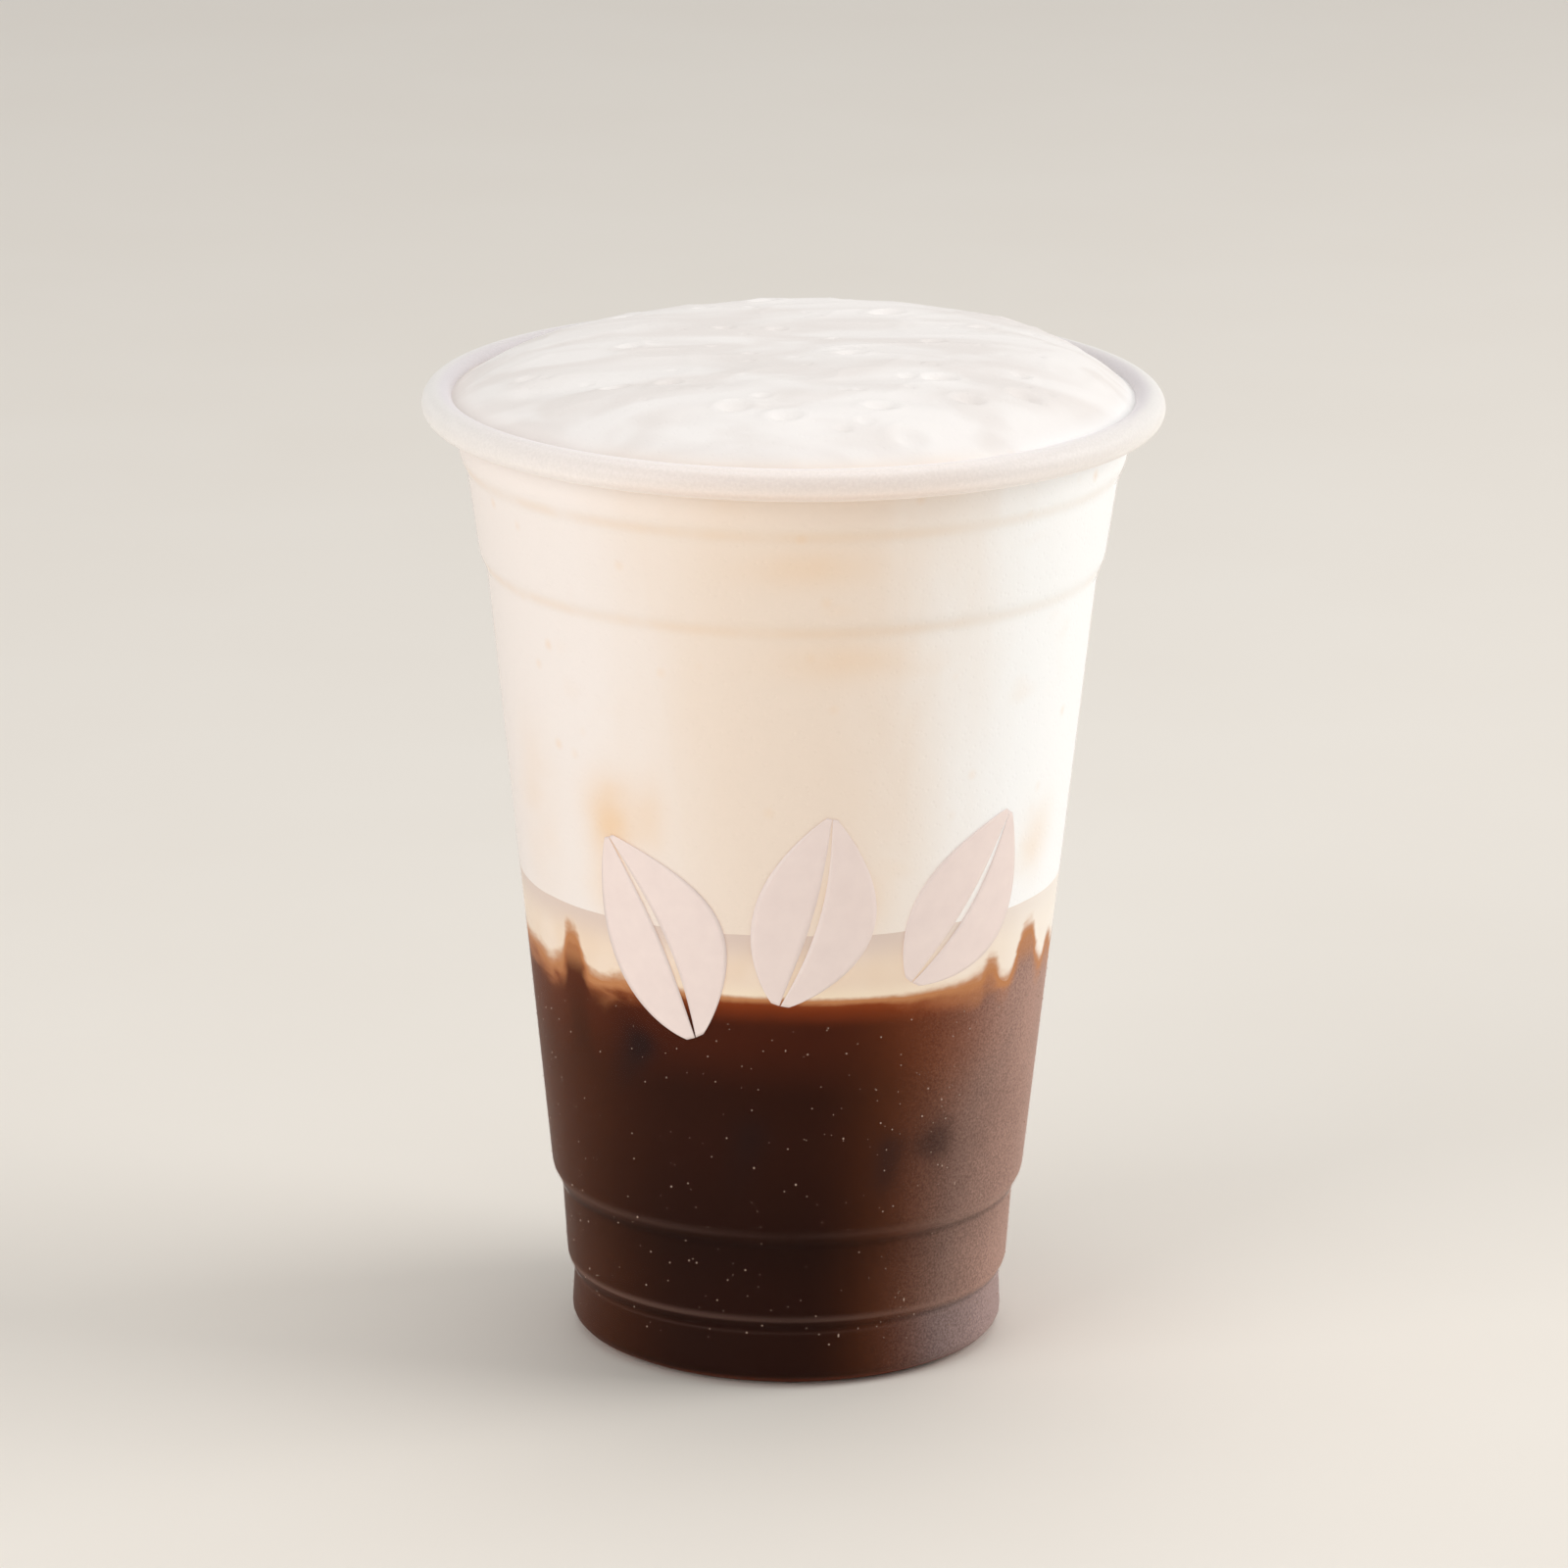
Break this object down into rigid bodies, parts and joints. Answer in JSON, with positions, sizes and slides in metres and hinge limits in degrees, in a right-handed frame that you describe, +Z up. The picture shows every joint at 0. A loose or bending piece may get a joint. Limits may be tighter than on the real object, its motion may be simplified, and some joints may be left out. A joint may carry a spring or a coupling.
{
  "type": "iced latte",
  "caption": "Layered iced latte in a frosted clear plastic cup with a rolled lip and stacking rings, filled with dark coffee, pale milk and foam domed above the rim.",
  "frame": {"origin": "centre of the cup's standing ring, on the surface it stands on", "axes": "+Z up along the cup's axis, -Y towards the front, +X to the front's right"},
  "size_m": [0.095, 0.095, 0.1322],
  "materials": {
    "cup": "thin frosted see-through plastic, soft gloss",
    "coffee": "dark coffee with sunken ice, seen through the wall",
    "milk": "pale milk, slightly see-through",
    "foam": "dense fine milk foam, soft satin"
  },
  "bodies": {
    "root": {"cup": "cup", "coffee": "coffee", "milk": "milk", "foam": "foam"}
  },
  "joints": []
}
